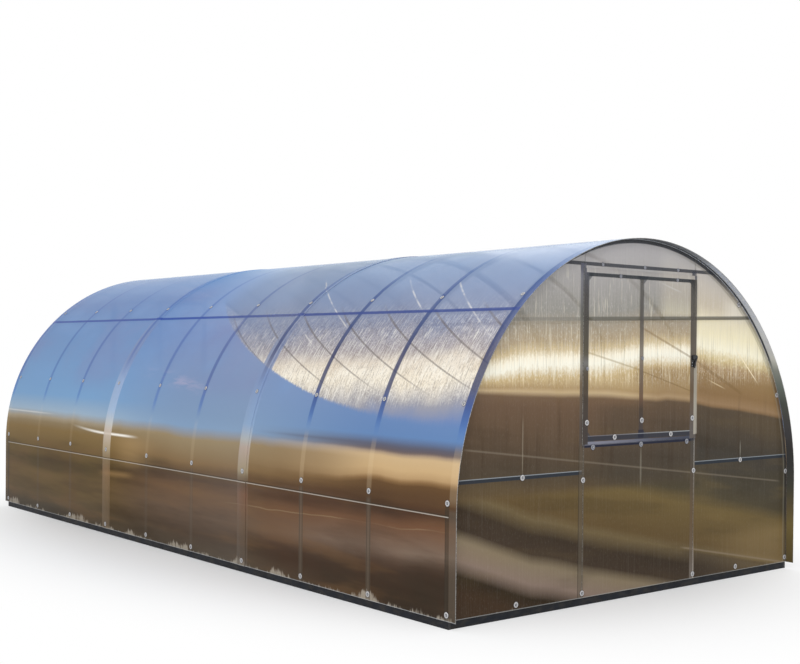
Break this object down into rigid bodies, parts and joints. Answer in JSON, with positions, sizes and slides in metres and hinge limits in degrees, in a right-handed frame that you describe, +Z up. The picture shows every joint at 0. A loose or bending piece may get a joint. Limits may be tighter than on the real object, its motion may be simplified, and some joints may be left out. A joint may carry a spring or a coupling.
{
  "type": "polycarbonate greenhouse",
  "caption": "Arched walk-in greenhouse: a steel tube frame of bent hoops and straight purlins, clad with clear twin-wall sheets, with a framed window sash in each gable.",
  "frame": {"origin": "on the ground, in the middle of the plan", "axes": "+Y runs along the length, the front gable is at -Y, +Z is up, +X is to the right as seen from the front"},
  "size_m": [3.0172, 6.12, 2.1084],
  "materials": {
    "base_steel": "satin dark slate paint",
    "frame_steel": "weathered zinc and slate paint",
    "roof_sheet": "twin-wall polycarbonate with a sky-blue and bronze sheen",
    "gable_sheet": "twin-wall polycarbonate with a bronze and golden sheen",
    "latch": "moulded black"
  },
  "bodies": {
    "root": {"base_rail_left": "base_steel", "base_rail_right": "base_steel", "base_rail_front": "base_steel", "base_rail_rear": "base_steel", "hoop_01": "frame_steel", "hoop_02": "frame_steel", "hoop_03": "frame_steel", "hoop_04": "frame_steel", "hoop_05": "frame_steel", "hoop_06": "frame_steel", "hoop_07": "frame_steel", "hoop_08": "frame_steel", "hoop_09": "frame_steel", "hoop_10": "frame_steel", "purlin_left_lower": "frame_steel", "purlin_left_upper": "frame_steel", "purlin_right_lower": "frame_steel", "purlin_right_upper": "frame_steel", "roof_sheet_front": "roof_sheet", "roof_sheet_middle": "roof_sheet", "roof_sheet_rear": "roof_sheet", "front_posts": "frame_steel", "front_tie_bar": "frame_steel", "front_mid_rails": "frame_steel", "front_sill_rail": "frame_steel", "front_sheet_left": "gable_sheet", "front_sheet_right": "gable_sheet", "front_sheet_top": "gable_sheet", "front_sheet_lower": "gable_sheet", "front_window_frame": "frame_steel", "front_window_sheet": "gable_sheet", "front_window_latch": "latch", "front_window_hinges": "frame_steel", "rear_posts": "frame_steel", "rear_tie_bar": "frame_steel", "rear_mid_rails": "frame_steel", "rear_sill_rail": "frame_steel", "rear_sheet_left": "gable_sheet", "rear_sheet_right": "gable_sheet", "rear_sheet_top": "gable_sheet", "rear_sheet_lower": "gable_sheet", "rear_window_frame": "frame_steel", "rear_window_sheet": "gable_sheet", "rear_window_latch": "latch", "rear_window_hinges": "frame_steel"}
  },
  "joints": []
}
